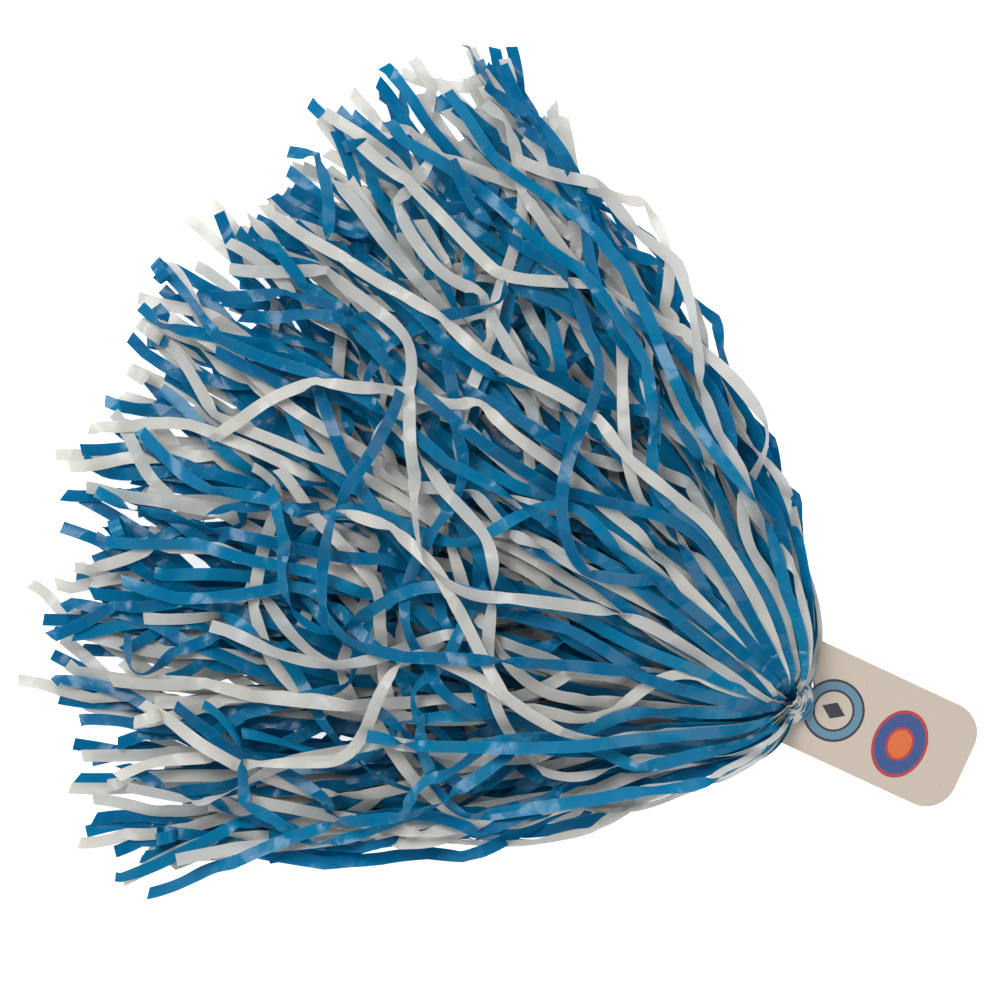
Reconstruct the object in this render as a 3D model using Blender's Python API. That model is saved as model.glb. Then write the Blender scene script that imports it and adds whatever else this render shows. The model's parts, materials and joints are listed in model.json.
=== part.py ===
"""Rooter-style cheer pom pom: a flat plastic paddle handle with slit film streamers looped through its hole.

Units are metres and +Z is up. The pom pom lies on its side on the plane z = 0. The handle points along -Y,
the streamers fan out towards +Y, and the origin is the middle of the underside of the whole object.
The streamers fold over inside the hole, so half of them lie in front of (above) the handle's end and half lie
behind (below) it. Each half is split into tufts that swing on their own, and each tuft is a stack of film
layers in two colours.
"""

import math

import bmesh
import bpy
from mathutils import Vector

# Handle: a paddle cut from plastic sheet, with rounded corners and one hole for the streamers
PADDLE_LENGTH = 0.1016
PADDLE_WIDTH = 0.0445
PADDLE_THICKNESS = 0.0020
PADDLE_CORNER_RADIUS = 0.0127
PADDLE_EDGE_RADIUS = 0.0004
PADDLE_TILT = math.radians(7.6)
HOLE_RADIUS = 0.0090
HOLE_TO_GRIP_END = 0.0790

# Streamers
TIP_RADIUS = 0.3060
TIP_PULL_BACK = 0.0400
ROOT_RADIUS = 0.0125
SPLIT_HEIGHT = 0.0160
CLEARANCE = 0.0003

# Outline of the fan: half angle at the root and at the tips, and how quickly the bell shape narrows
ROOT_HALF_ANGLE = math.radians(85)
TIP_HALF_ANGLE = math.radians(43)
BELL_LENGTH = 0.0600

# Front tufts: the pile's thickness at the root, at its fullest and at the tips
FRONT_ROOT_THICKNESS = 0.0090
FRONT_PEAK_THICKNESS = 0.0340
FRONT_TIP_THICKNESS = 0.0120
FRONT_PEAK_AT = 0.38
FRONT_SPLIT_ANGLE = math.radians(15)
FRONT_SPLIT_GAP = 0.0009
EDGE_DROP = 0.45

# Back tufts: thin where the handle's end lies on them, then full up to the front tufts
BACK_ROOT_THICKNESS = 0.0080
BACK_ROOT_END = 0.0340
BACK_FULL_RADIUS = 0.0750
BACK_FULL_THICKNESS = SPLIT_HEIGHT - CLEARANCE

# Core: the gathered middle of the streamers, pinched by the hole and bulging on both sides of it
CORE_WAIST_RADIUS = HOLE_RADIUS - CLEARANCE
CORE_FLANGE_RADIUS = 0.0112
CORE_TOP = 0.0092
CORE_BOTTOM = 0.0086

# Mesh resolution
RADIAL_CELLS = 9
RADIAL_CROWDING = 1.3
FRONT_SIDE_CELLS = 5
FRONT_MIDDLE_CELLS = 4
BACK_CELLS = 6
CORNER_SEGMENTS = 8
ROUND_SEGMENTS = 40
DOME_STEPS = 5

# Edges sharper than these are softened on the paddle and drawn sharp on the core
PADDLE_RIM_ANGLE = math.radians(60)
CORE_CREASE_ANGLE = math.radians(50)

LAYER_COLOURS = ("white", "blue", "white", "blue")
FRONT_LAYER_PLACES = ("inner", "inner", "outer", "outer")
BACK_LAYER_PLACES = ("lower", "lower", "upper", "upper")

HOLE_REACH = HOLE_TO_GRIP_END * math.cos(PADDLE_TILT)
HOLE_HEIGHT = HOLE_TO_GRIP_END * math.sin(PADDLE_TILT) + PADDLE_THICKNESS / 2 * math.cos(PADDLE_TILT)
HOLE_Y = (HOLE_REACH - TIP_RADIUS) / 2
HOLE_CENTRE = Vector((0, HOLE_Y, HOLE_HEIGHT))
HINGE_POINT = Vector((0, HOLE_Y, SPLIT_HEIGHT))

MATERIALS = {
    "white": {"colour": (0.62, 0.63, 0.62), "roughness": 0.35},
    "blue": {"colour": (0.004, 0.14, 0.32), "roughness": 0.30},
    "handle": {"colour": (0.52, 0.45, 0.38), "roughness": 0.60},
    "core": {"colour": (0.02, 0.12, 0.24), "roughness": 0.40},
}


def clear_scene():
    """Remove every object that the file holds."""
    for item in list(bpy.data.objects):
        bpy.data.objects.remove(item, do_unlink=True)


def make_material(name, look):
    """A plain Principled material with one colour and roughness."""
    material = bpy.data.materials.new(name)
    material.use_nodes = True
    shader = material.node_tree.nodes["Principled BSDF"]
    shader.inputs["Base Color"].default_value = (*look["colour"], 1.0)
    shader.inputs["Roughness"].default_value = look["roughness"]
    shader.inputs["Metallic"].default_value = 0.0
    return material


def add_object(name, mesh, look, parent=None):
    """Link a mesh as a named object with its own material, under an optional parent."""
    item = bpy.data.objects.new(name, mesh)
    bpy.context.scene.collection.objects.link(item)
    mesh.materials.append(make_material(name, MATERIALS[look]))
    item.parent = parent
    return item


def add_pivot(name, location):
    """An empty at a joint's centre, which holds the pieces that swing about it."""
    pivot = bpy.data.objects.new(name, None)
    bpy.context.scene.collection.objects.link(pivot)
    pivot.location = location
    return pivot


def smooth(value):
    """Ease from 0 to 1 with level ends."""
    value = min(1.0, max(0.0, value))
    return value * value * (3 - 2 * value)


def blend(start, end, share):
    """The value a share of the way from start to end."""
    return start + (end - start) * share


# ---------------------------------------------------------------- handle


def rounded_outline(half_width, y_low, y_high, radius):
    """Points of a rounded rectangle, anticlockwise seen from above."""
    corners = (
        (half_width - radius, y_low + radius, -90),
        (half_width - radius, y_high - radius, 0),
        (radius - half_width, y_high - radius, 90),
        (radius - half_width, y_low + radius, 180),
    )
    points = []
    for x, y, first_angle in corners:
        for step in range(CORNER_SEGMENTS + 1):
            angle = math.radians(first_angle + 90 * step / CORNER_SEGMENTS)
            points.append((x + radius * math.cos(angle), y + radius * math.sin(angle)))
    return points


def round_outline(radius):
    """Points of a circle about the hole's centre, anticlockwise seen from above."""
    angles = [math.tau * step / ROUND_SEGMENTS for step in range(ROUND_SEGMENTS)]
    return [(radius * math.cos(angle), radius * math.sin(angle)) for angle in angles]


def paddle_mesh():
    """The paddle: an extruded rounded rectangle with the streamer hole and softened outer edges."""
    shape = bmesh.new()
    y_high = PADDLE_LENGTH - HOLE_TO_GRIP_END
    outer = rounded_outline(PADDLE_WIDTH / 2, -HOLE_TO_GRIP_END, y_high, PADDLE_CORNER_RADIUS)
    edges = []
    for outline in (outer, round_outline(HOLE_RADIUS)):
        ring = [shape.verts.new((x, y, -PADDLE_THICKNESS / 2)) for x, y in outline]
        for first, second in zip(ring, ring[1:] + ring[:1]):
            edges.append(shape.edges.new((first, second)))
    bmesh.ops.triangle_fill(shape, use_beauty=True, edges=edges, normal=(0, 0, -1))
    bottom = list(shape.faces)
    bmesh.ops.recalc_face_normals(shape, faces=bottom)
    raised = bmesh.ops.extrude_face_region(shape, geom=bottom, use_keep_orig=True)
    top = [item for item in raised["geom"] if isinstance(item, bmesh.types.BMVert)]
    bmesh.ops.translate(shape, vec=(0, 0, PADDLE_THICKNESS), verts=top)
    bmesh.ops.recalc_face_normals(shape, faces=list(shape.faces))
    rims = [edge for edge in shape.edges if edge.calc_face_angle(0) > PADDLE_RIM_ANGLE]
    bmesh.ops.bevel(shape, geom=rims, offset=PADDLE_EDGE_RADIUS, segments=1, affect="EDGES")
    mesh = bpy.data.meshes.new("paddle_handle")
    shape.to_mesh(mesh)
    shape.free()
    return mesh


def core_profile():
    """Radius and height of the core from its lower crown to its upper crown, about the hole's centre."""
    lip = PADDLE_THICKNESS / 2 + CLEARANCE
    upper = bulge_profile(lip, CORE_TOP)
    lower = [(radius, -height) for radius, height in reversed(bulge_profile(lip, CORE_BOTTOM))]
    return lower + upper


def bulge_profile(lip, crown):
    """One side's bulge: out from the waist over the hole's rim, then a dome up to the crown."""
    points = [(CORE_WAIST_RADIUS, lip), (CORE_FLANGE_RADIUS, lip)]
    for step in range(1, DOME_STEPS):
        angle = math.pi / 2 * step / DOME_STEPS
        points.append((CORE_FLANGE_RADIUS * math.cos(angle), lip + (crown - lip) * math.sin(angle)))
    return points


def core_mesh():
    """The core, turned about the hole's axis."""
    shape = bmesh.new()
    rings = []
    for radius, height in core_profile():
        rings.append([shape.verts.new((x, y, height)) for x, y in round_outline(radius)])
    bottom_pole = shape.verts.new((0, 0, -CORE_BOTTOM))
    top_pole = shape.verts.new((0, 0, CORE_TOP))
    for lower, upper in zip(rings, rings[1:]):
        for index in range(ROUND_SEGMENTS):
            after = (index + 1) % ROUND_SEGMENTS
            shape.faces.new((lower[index], lower[after], upper[after], upper[index]))
    for index in range(ROUND_SEGMENTS):
        after = (index + 1) % ROUND_SEGMENTS
        shape.faces.new((rings[0][after], rings[0][index], bottom_pole))
        shape.faces.new((rings[-1][index], rings[-1][after], top_pole))
    mesh = bpy.data.meshes.new("streamer_core")
    shape.to_mesh(mesh)
    shape.free()
    mesh.shade_smooth()
    mesh.set_sharp_from_angle(angle=CORE_CREASE_ANGLE)
    return mesh


def make_handle():
    """The paddle and the gathered core that fills its hole, both tilted with the handle."""
    for name, mesh, look in (
        ("paddle_handle", paddle_mesh(), "handle"),
        ("streamer_core", core_mesh(), "core"),
    ):
        item = add_object(name, mesh, look)
        item.location = HOLE_CENTRE
        item.rotation_euler.x = PADDLE_TILT


# ---------------------------------------------------------------- streamers


def outer_angle(radius):
    """Half angle of the fan at a distance from the hole: wide at the root, then narrowing like a bell."""
    narrowing = 1 - math.exp(-(radius - ROOT_RADIUS) / BELL_LENGTH)
    full_narrowing = 1 - math.exp(-(TIP_RADIUS - ROOT_RADIUS) / BELL_LENGTH)
    return blend(ROOT_HALF_ANGLE, TIP_HALF_ANGLE, narrowing / full_narrowing)


def tip_radius(angle, half_angle):
    """Distance from the hole to the cut ends: the streamers at the fan's sides end a little nearer."""
    return TIP_RADIUS - TIP_PULL_BACK * (angle / half_angle) ** 4


def inner_angle(radius, split_angle, gap):
    """Angle of a tuft's inner side, which keeps a constant gap to the plane it shares with its neighbour."""
    return split_angle + math.asin(gap / radius)


def front_thickness(share):
    """Thickness of the front pile at a share of the way from the root to the tips."""
    if share < FRONT_PEAK_AT:
        return blend(FRONT_ROOT_THICKNESS, FRONT_PEAK_THICKNESS, smooth(share / FRONT_PEAK_AT))
    fall = smooth((share - FRONT_PEAK_AT) / (1 - FRONT_PEAK_AT))
    return blend(FRONT_PEAK_THICKNESS, FRONT_TIP_THICKNESS, fall)


def back_thickness(share):
    """Thickness of the back pile: thin beneath the handle's end, then up to the front pile."""
    radius = blend(ROOT_RADIUS, TIP_RADIUS, share)
    rise = smooth((radius - BACK_ROOT_END) / (BACK_FULL_RADIUS - BACK_ROOT_END))
    return blend(BACK_ROOT_THICKNESS, BACK_FULL_THICKNESS, rise)


def edge_crown(angle, radius):
    """How much of its thickness the pile keeps at an angle: all in the middle, less at the sides."""
    return 1 - EDGE_DROP * (abs(angle) / outer_angle(radius)) ** 2


def tuft_columns(angle_range, cells):
    """The tuft's grid of columns: for each ring of each radius, its share of the length and its place."""
    rows = []
    for row in range(RADIAL_CELLS + 1):
        share = (row / RADIAL_CELLS) ** RADIAL_CROWDING
        radius = blend(ROOT_RADIUS, TIP_RADIUS, share)
        low, high = angle_range(radius)
        columns = []
        for cell in range(cells + 1):
            angle = blend(low, high, cell / cells)
            reach = blend(ROOT_RADIUS, tip_radius(angle, outer_angle(radius)), share)
            place = (reach * math.sin(angle), reach * math.cos(angle))
            columns.append((share, angle, radius, place))
        rows.append(columns)
    return rows


def layer_mesh(name, rows, heights):
    """One closed film layer over a grid of columns. Heights gives a column's lower and upper height."""
    shape = bmesh.new()
    sheets = []
    for side in range(2):
        sheet = []
        for columns in rows:
            line = []
            for share, angle, radius, (x, y) in columns:
                line.append(shape.verts.new((x, y, heights(share, angle, radius)[side])))
            sheet.append(line)
        sheets.append(sheet)
    lower, upper = sheets
    for row in range(len(rows) - 1):
        for cell in range(len(rows[0]) - 1):
            for sheet, order in ((lower, 1), (upper, -1)):
                near, far = sheet[row], sheet[row + 1]
                shape.faces.new((near[cell], far[cell], far[cell + 1])[::order])
                shape.faces.new((near[cell], far[cell + 1], near[cell + 1])[::order])
    rim = rim_indices(len(rows), len(rows[0]))
    for (row, cell), (next_row, next_cell) in zip(rim, rim[1:] + rim[:1]):
        corners = (
            lower[row][cell],
            lower[next_row][next_cell],
            upper[next_row][next_cell],
            upper[row][cell],
        )
        shape.faces.new((corners[0], corners[1], corners[2]))
        shape.faces.new((corners[0], corners[2], corners[3]))
    bmesh.ops.recalc_face_normals(shape, faces=list(shape.faces))
    mesh = bpy.data.meshes.new(name)
    shape.to_mesh(mesh)
    shape.free()
    return mesh


def rim_indices(row_count, column_count):
    """Indices of the grid's rim, once round."""
    near = [(0, cell) for cell in range(column_count)]
    right = [(row, column_count - 1) for row in range(1, row_count)]
    far = [(row_count - 1, cell) for cell in range(column_count - 2, -1, -1)]
    left = [(row, 0) for row in range(row_count - 2, 0, -1)]
    return near + right + far + left


def stacked_heights(thickness, layer, layer_count, base, crowned):
    """A function that gives one layer's lower and upper height above the tuft's pivot."""

    def heights(share, angle, radius):
        full = thickness(share) * (edge_crown(angle, radius) if crowned else 1)
        lower = base + full * layer / layer_count
        upper = base + full * (layer + 1) / layer_count
        return lower, upper - CLEARANCE

    return heights


def make_tuft(name, places, angle_range, cells, pivot_point, base, thickness, crowned):
    """One tuft: its pivot at the hole and its stack of film layers."""
    pivot = add_pivot(f"{name}_pivot", pivot_point)
    rows = tuft_columns(angle_range, cells)
    for layer, (colour, place) in enumerate(zip(LAYER_COLOURS, places)):
        layer_name = f"{name}_{colour}_{place}"
        heights = stacked_heights(thickness, layer, len(LAYER_COLOURS), base, crowned)
        add_object(layer_name, layer_mesh(layer_name, rows, heights), colour, pivot)


def side_range(side, split_angle, gap):
    """The angles of a side tuft, from the plane that it shares with its neighbour to the fan's edge."""

    def angle_range(radius):
        inner = inner_angle(radius, split_angle, gap)
        return (inner, outer_angle(radius)) if side > 0 else (-outer_angle(radius), -inner)

    return angle_range


def middle_range(radius):
    """The angles of the middle front tuft."""
    half = FRONT_SPLIT_ANGLE - math.asin(FRONT_SPLIT_GAP / radius)
    return -half, half


def make_front_tufts():
    """Three tufts above the handle's end, which lift about one line across the hole."""
    ranges = (
        ("front_left", side_range(-1, FRONT_SPLIT_ANGLE, FRONT_SPLIT_GAP), FRONT_SIDE_CELLS),
        ("front_middle", middle_range, FRONT_MIDDLE_CELLS),
        ("front_right", side_range(1, FRONT_SPLIT_ANGLE, FRONT_SPLIT_GAP), FRONT_SIDE_CELLS),
    )
    for name, angle_range, cells in ranges:
        make_tuft(name, FRONT_LAYER_PLACES, angle_range, cells, HINGE_POINT, 0, front_thickness, True)


def make_back_tufts():
    """Two tufts that lie on the table beneath the handle's end, and swing outwards about the hole."""
    pivot_point = Vector((0, HOLE_Y, 0))
    for name, side in (("back_left", -1), ("back_right", 1)):
        angle_range = side_range(side, 0, CLEARANCE)
        make_tuft(name, BACK_LAYER_PLACES, angle_range, BACK_CELLS, pivot_point, 0, back_thickness, False)


def main():
    """Build the whole pom pom."""
    clear_scene()
    make_handle()
    make_front_tufts()
    make_back_tufts()


main()
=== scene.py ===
"""Looks for the cheer pom pom: streamers laid down one by one, the gathered film, the handle and its print.

The streamers are laid on one another in order, from the table up. Each one leaves the handle's hole, follows
the fan's bell shape with its own bends and twists, and rests on a height map of what is already there. Then
the pile is pressed to its settled height.
"""

import json
import math
from itertools import product
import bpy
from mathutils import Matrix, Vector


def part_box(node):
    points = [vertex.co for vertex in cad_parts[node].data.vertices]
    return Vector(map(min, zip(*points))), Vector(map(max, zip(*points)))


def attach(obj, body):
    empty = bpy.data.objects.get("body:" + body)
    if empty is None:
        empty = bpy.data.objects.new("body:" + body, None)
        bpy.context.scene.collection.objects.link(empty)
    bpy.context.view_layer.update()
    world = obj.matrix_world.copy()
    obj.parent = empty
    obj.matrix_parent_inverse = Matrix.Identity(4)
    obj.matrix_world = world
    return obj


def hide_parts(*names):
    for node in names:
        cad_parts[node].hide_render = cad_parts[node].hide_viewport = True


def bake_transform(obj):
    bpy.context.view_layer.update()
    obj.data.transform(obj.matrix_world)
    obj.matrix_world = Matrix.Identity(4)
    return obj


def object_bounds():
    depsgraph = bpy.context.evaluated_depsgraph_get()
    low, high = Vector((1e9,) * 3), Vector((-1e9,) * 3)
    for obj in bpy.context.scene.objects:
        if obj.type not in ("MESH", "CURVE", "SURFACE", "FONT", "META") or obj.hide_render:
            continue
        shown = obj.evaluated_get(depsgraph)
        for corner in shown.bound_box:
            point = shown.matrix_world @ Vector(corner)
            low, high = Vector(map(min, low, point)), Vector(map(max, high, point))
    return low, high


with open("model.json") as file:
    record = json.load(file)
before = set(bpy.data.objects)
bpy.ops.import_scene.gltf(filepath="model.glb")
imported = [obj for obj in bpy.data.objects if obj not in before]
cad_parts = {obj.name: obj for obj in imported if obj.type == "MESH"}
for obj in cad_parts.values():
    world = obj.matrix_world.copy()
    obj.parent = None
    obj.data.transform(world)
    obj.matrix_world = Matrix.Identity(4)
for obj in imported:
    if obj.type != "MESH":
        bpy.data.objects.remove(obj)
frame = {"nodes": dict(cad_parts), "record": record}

from types import SimpleNamespace as Group

import bpy
import numpy as np
from mathutils import Vector

CAD_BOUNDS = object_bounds()
RECORD = frame["record"]
SEED = 58

# ---- places taken from the frame

HINGE = next(Vector(j["pos_m"]) for j in RECORD["behaviour"]["joints"] if j["name"] == "front_middle_lift")
GRIP_FACE = next(m for m in RECORD["mounts"] if m["name"] == "grip_front_face")
GRIP_POINT = Vector(GRIP_FACE["pos_m"])
GRIP_NORMAL = Vector(GRIP_FACE["axis"])
GRIP_SLOPE = -GRIP_NORMAL.y / GRIP_NORMAL.z
PADDLE_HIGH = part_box("paddle_handle")[1]
REACH = CAD_BOUNDS[1].y - HINGE.y
MIDDLE = Vector((0, HINGE.y, 0))

# ---- sizes in metres, and angles in degrees

# Streamers. Their rows are a step apart, and the first ones, in the hole, are halved twice over.
STRIP_WIDTH = 0.0050
FILM_THICKNESS = 0.00012
STRIP_LENGTH = 0.2970
STRIP_STEP = 0.0023
FINE_ROWS = 24
FRONT_COUNTS = {"left": 82, "middle": 92, "right": 82}
BACK_COUNTS = {"left": 112, "right": 112}
BLUE_SHARE = 0.58
NARROW_SHARE = 0.42
CROWN = Group(height=0.00022, full_at=0.06, waves=(0.03, 0.12))
CUT_SKEW = 0.0009

# Levels run from 0 at the bottom of a half of the pile to 1 at its top. From a streamer to its neighbour they
# step on by the golden section, so that neighbours lie well apart in height.
GOLDEN = 0.618034
SCATTER = (0.1, 0.9)
LAYER_LEVELS = ((0.0, 0.62), (0.38, 1.0))
HALVES = ("front", FRONT_COUNTS, ("inner", "outer")), ("back", BACK_COUNTS, ("lower", "upper"))
TOP_LEVEL = 0.45

# How streamers differ: chances, ranges, and where something starts and how far it runs
WILD = Group(chance_on_top=0.34, chance_below=0.16, bends=1.4)
LENGTHS = Group(spread=0.011, short_chance=0.22, short=(0.58, 0.96), edge_from=0.75, edge_cut=(0.03, 0.17))
CURL = Group(chance=0.03, turns=(0.5, 1.3), radius=(0.0045, 0.0075), least=0.0028, tighter=0.992)
CURL_STEP = 0.0011
CURL_DRIFT = 0.0032
FOLD = Group(chance=0.05, at=(0.66, 0.93), span=(0.014, 0.024), turn=(100, 175))
BOW = Group(chance=0.5, angle=(3, 9), at=(0.04, 0.17), spread=0.05, roll=65)
STRAY = Group(chance=0.14, angle=(30, 70), at=(0.05, 0.22), span=(0.040, 0.140), bend=0.009, centre=0.3)
CROSSING = Group(chance=0.52, below=0.40, share=(0.35, 1.0), at=(0.08, 0.17), span=(0.09, 0.16))
DRIFT = Group(times=2, at=(0.03, 0.20), span=(0.05, 0.13), wild=0.42, calm=0.11, limit=0.97)
FLOW = Group(angle=4, waves=(0.06, 0.24))
KINKS = Group(angle=10, apart=(0.012, 0.055))
BENDS = Group(free=(0.008, 0.07), tip=(0.19, 0.10), tip_share=0.5)
FLICK = Group(angle=13, length=0.04, over=0.02)
PULL = Group(most=0.6, over=0.05)
ROOT_SPREAD = 0.0013
PLEAT = (0.010, 0.050)
ROLL = Group(free=(0.006, 0.034), calm=0.5)
ROLL_WAVES = Group(angle=9, waves=(0.05, 0.14))
ROLL_CREASES = Group(angle=17, apart=(0.010, 0.045))
BANK = Group(passes=3, turning=45.0)
TWIST = Group(counts=(0, 0, 1, 1, 2), chance_below=0.25, at=(0.05, 0.29), half=(0.010, 0.026))
LEAN = Group(chance=0.35, at=(0.04, 0.28), half=(0.008, 0.026), angle=(40, 85))
BOUNCE = Group(on_top=(0.0006, 0.0020), below=(0.0001, 0.0006), waves=(0.03, 0.12), free=(0.02, 0.08))
CRUMPLE = Group(on_top=0.0006, below=0.0002, apart=(0.006, 0.024))

# The fan's outline, as in the frame, where its edges wrap back and its tips draw in. Shares of it run from -1 at
# its left edge to 1 at its right, and the back half's tufts come first.
ROOT_RADIUS = 0.0125
ROOT_HALF_ANGLE = math.radians(85)
TIP_HALF_ANGLE = math.radians(43)
BELL_LENGTH = 0.0600
FRONT_SPLIT = math.radians(15) / TIP_HALF_ANGLE
TUFT_SHARES = (
    {"left": (-1.0, 0.0), "right": (0.0, 1.0)},
    {"left": (-1.0, -FRONT_SPLIT), "middle": (-FRONT_SPLIT, FRONT_SPLIT), "right": (FRONT_SPLIT, 1.0)},
)
WRAP_ANGLE = math.radians(16)
WRAP_RADIUS = 0.034
WRAP_FROM = 0.6
TIP_GATHER = math.radians(5)
GATHER_FROM = 0.18

# The hole, which the streamers leave as a bundle
PADDLE_THICKNESS = 0.0020
BUNDLE_RADIUS = 0.0065
BUNDLE_PACKING = 0.9
BUNDLE_START = 0.0008
BUNDLE_HEIGHT = 0.0065
BUNDLE_REACH = 0.0200
BUNDLE_CORE = 0.15
BUNDLE_FRONT = Group(spread=0.45, dive=0.9, dive_radius=0.0042, opening=0.40)
BUNDLE_BACK = Group(height=0.8, opening=0.25, least=0.0004)
BUNDLE_GAP = 0.0006
HELD_SHARE = 0.4
UPPERMOST = Group(level=0.8, reach=0.4)
GATHER_SHIFT = (-0.0070, -0.0012)
GATHER_SHIFT_REACH = 0.045

# How streamers rest on each other
REST = Group(reach=3, passes=60, sag=0.00004, tip_run=0.6, lean=0.85, gap=0.0001, give=0.0002)
CEILING = Group(gap=0.0004, least=0.2)
GAP = Group(least=0.00010, on_top=0.00029, below=0.00010, full_at=0.06)
SOLE_GAP = Group(level=0.2, size=0.00030, full_at=0.010, fade=(0.03, 0.04))

# Heights of the pressed pile
ROOT_TOP = 0.0270
PEAK_TOP = 0.0420
TIP_TOP = 0.0170
RISE_FROM = 0.02
PEAK_AT = 0.110
SIDE_FALL = 0.45
BACK_TOP = 0.0160
NO_LIMIT = 1.0
LOOSE_SHELL = 0.0120
SHELL_SHARE = 0.6
LOOSE_SOLE = 0.0030
SOLE_SHARE = 0.2
LEAST_PILE = 0.0005
LEAST_PRESSED = 0.0004
PRESS_EDGE = (0.004, 0.012)
LEAN_LIMIT = 0.0014

# The height map, and how many cells and passes its maps are evened out over
CELL = 0.0012
MAP_LOW = (-0.250, -0.060)
MAP_HIGH = (0.250, 0.360)
FOOTPRINT_COLUMNS = 5
FOOTPRINT_DETAIL = 3
BASE_WIDENING = 8
BASE_BLUR = (4, 2)
TOP_BLUR = (5, 3)
WANTED_BLUR = (3, 2)

# The gathered film in the hole: bands wrapped above and below the handle, and ends that pass through
CORE_NARROWING = 0.8
CORE_RADIUS = 0.0088
CORE_CENTRE = np.array((-0.0045, -0.0008, 0))
TOP_BANDS = Group(count=8, radius=0.0030, height=0.0022, rise=0.0062, curve=0.8, lean=68, flattening=30)
UNDER_BANDS = Group(count=6, radius=0.0035, height=-0.0018, rise=-0.0030, curve=1.0, lean=50, flattening=25)
BAND = Group(rows=44, step=0.001, sweep=(88, 108), turn=(-0.25, 0.25))
LEG = Group(start=0.72, out=0.009, down=0.002)
BAND_CREASES = Group(radius=0.05, wobble=(0.003, 0.009), bob=0.0005, lean=0.22, apart=(0.004, 0.010))
THROUGH = Group(count=14, rows=14, low=0.0036, rise=0.0050, uneven=0.3)
THROUGH_RADIUS = Group(share=(0.35, 0.85), waist=0.75, flare=0.4)
THROUGH_CREASES = Group(turn=0.3, length=0.016, apart=(0.004, 0.009))
CORE_CROWN = Group(height=0.0003, apart=(0.003, 0.008))

# The print: the ink's height, each mark's place from the hole, and its sizes from the rim in
PRINT_LIFT = 0.00004
RING_AT = (-0.0015, -0.0195)
RING_RADII = (0.0128, 0.0118, 0.0086, 0.0077)
DIAMOND = (0.0036, 0.0052)
BADGE_AT = (-0.0025, -0.0500)
BADGE = (0.0142, 0.0112)
BADGE_RINGS = (1.0, 0.90, 0.50, 0.42)
CORNER_STEPS = 16
PINHOLE = 0.001
TINY = 1e-6

# Camera and lights, which are placed along the picture's right and up, and above the table
VIEW_WIDTH = 0.408
VIEW_TURN = math.radians(-65)
VIEW_CENTRE = Vector((0.0187, 0.1392, 0))
CAMERA_HEIGHT = 1.60
SENSOR = 36.0
VIEW_FAR = 100
FLOOR_HALF = 20.0
FLOOR_GLOW = 0.80
KEY = Group(right=-0.45, up=0.55, height=1.1, size=0.7, power=15.0)
FILL = Group(right=0.7, up=-0.5, height=0.9, size=0.9, power=5.0)
SURROUND = ((0.50, (1, 1, 1)), (0.86, (0.03, 0.03, 0.03)))
SURROUND_STRENGTH = 0.72

# ---- looks of the materials

BLUE = dict(
    colour=(0.0004, 0.170, 0.345),
    deep=(0.0002, 0.130, 0.280),
    pale=(0.003, 0.235, 0.440),
    glow=(0.004, 0.350, 0.600),
    through=0.36,
)
WHITE = dict(
    colour=(0.675, 0.68, 0.645),
    # The deep tone is a bluish painted shade, as where light has come through blue film
    deep=(0.56, 0.60, 0.61),
    pale=(0.78, 0.77, 0.72),
    glow=(0.81, 0.79, 0.75),
    through=0.46,
)
GATHERED = dict(
    colour=(0.16, 0.34, 0.46),
    deep=BLUE["colour"],
    pale=WHITE["colour"],
    glow=WHITE["glow"],
    through=0.30,
)
# The gathered film's tones lie beyond 0 to 1, so that each strip is plainly blue or white
GATHERED_BLUE = -0.35
GATHERED_WHITE = 1.35

STRIP_VALUES = ("strip_along", "strip_across", "strip_tone")
CREASES_PER_METRE = 46.0
CREASE_DEPTH = 0.0016
CREASE_SLANT = 0.0014
CREASE_START = 3.7
# Pale lines along some creases: partly the film whitening where it is creased, partly a painted glint
CREASE_LINE = Group(half=0.05, wear=0.25)
# Painted highlight: the streamers' cut edges are drawn paler, towards the film's glow colour
CUT_EDGE = Group(beyond=0.82, wear=0.45)
# The film's shade runs from deep to pale with each streamer's random tone, soft random clouds and the facets
# between creases. The facets' part is painted shade and light: each facet is drawn lighter or darker as if
# tilted to the light.
SHADES = Group(tone=0.45, clouds=0.30, facets=0.25, deep_at=0.25, colour_at=0.50, pale_at=0.75)
CLOUDS = (55.0, 3.0)
SCUFFS = (160.0, 4.0)
WRINKLES = (230.0, 2.0)
WRINKLE_BUMP = (0.40, 0.0006)
FILM_ROUGHNESS = (0.14, 0.34)
FILM_IOR = 1.42
SHARP_ANGLE = math.radians(26)

MATTE_ROUGHNESS = (0.45, 0.65)
PLASTIC = Group(low=(0.50, 0.425, 0.355), high=(0.56, 0.48, 0.405), grain=(2600.0, 3.0), bump=(0.25, 0.0001))
SPECKS = Group(colour=(0.30, 0.25, 0.21), noise=(620.0, 1.0), start=0.74, stop=0.80, share=0.5)
INK = Group(low=0.75, high=1.25, grain=(1900.0, 2.0), bump=(0.2, 0.0001))
INKS = {
    "charcoal": (0.030, 0.030, 0.045),
    "steel blue": (0.105, 0.225, 0.310),
    "royal blue": (0.030, 0.070, 0.230),
    "red": (0.420, 0.035, 0.035),
    "orange": (0.640, 0.130, 0.030),
}


# ---- small helpers


def smooth(value):
    """Ease from 0 to 1 with level ends."""
    value = np.clip(value, 0.0, 1.0)
    return value * value * (3 - 2 * value)


def ramp(values, start, over):
    """Ease from 0 to 1, from a start on, over a length."""
    return smooth((values - start) / over)


def soften(values, passes):
    """Average each value with its neighbours, some times over."""
    for _ in range(passes):
        padded = np.concatenate((values[:1], values, values[-1:]))
        values = (padded[:-2] + 2 * padded[1:-1] + padded[2:]) / 4
    return values


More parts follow.
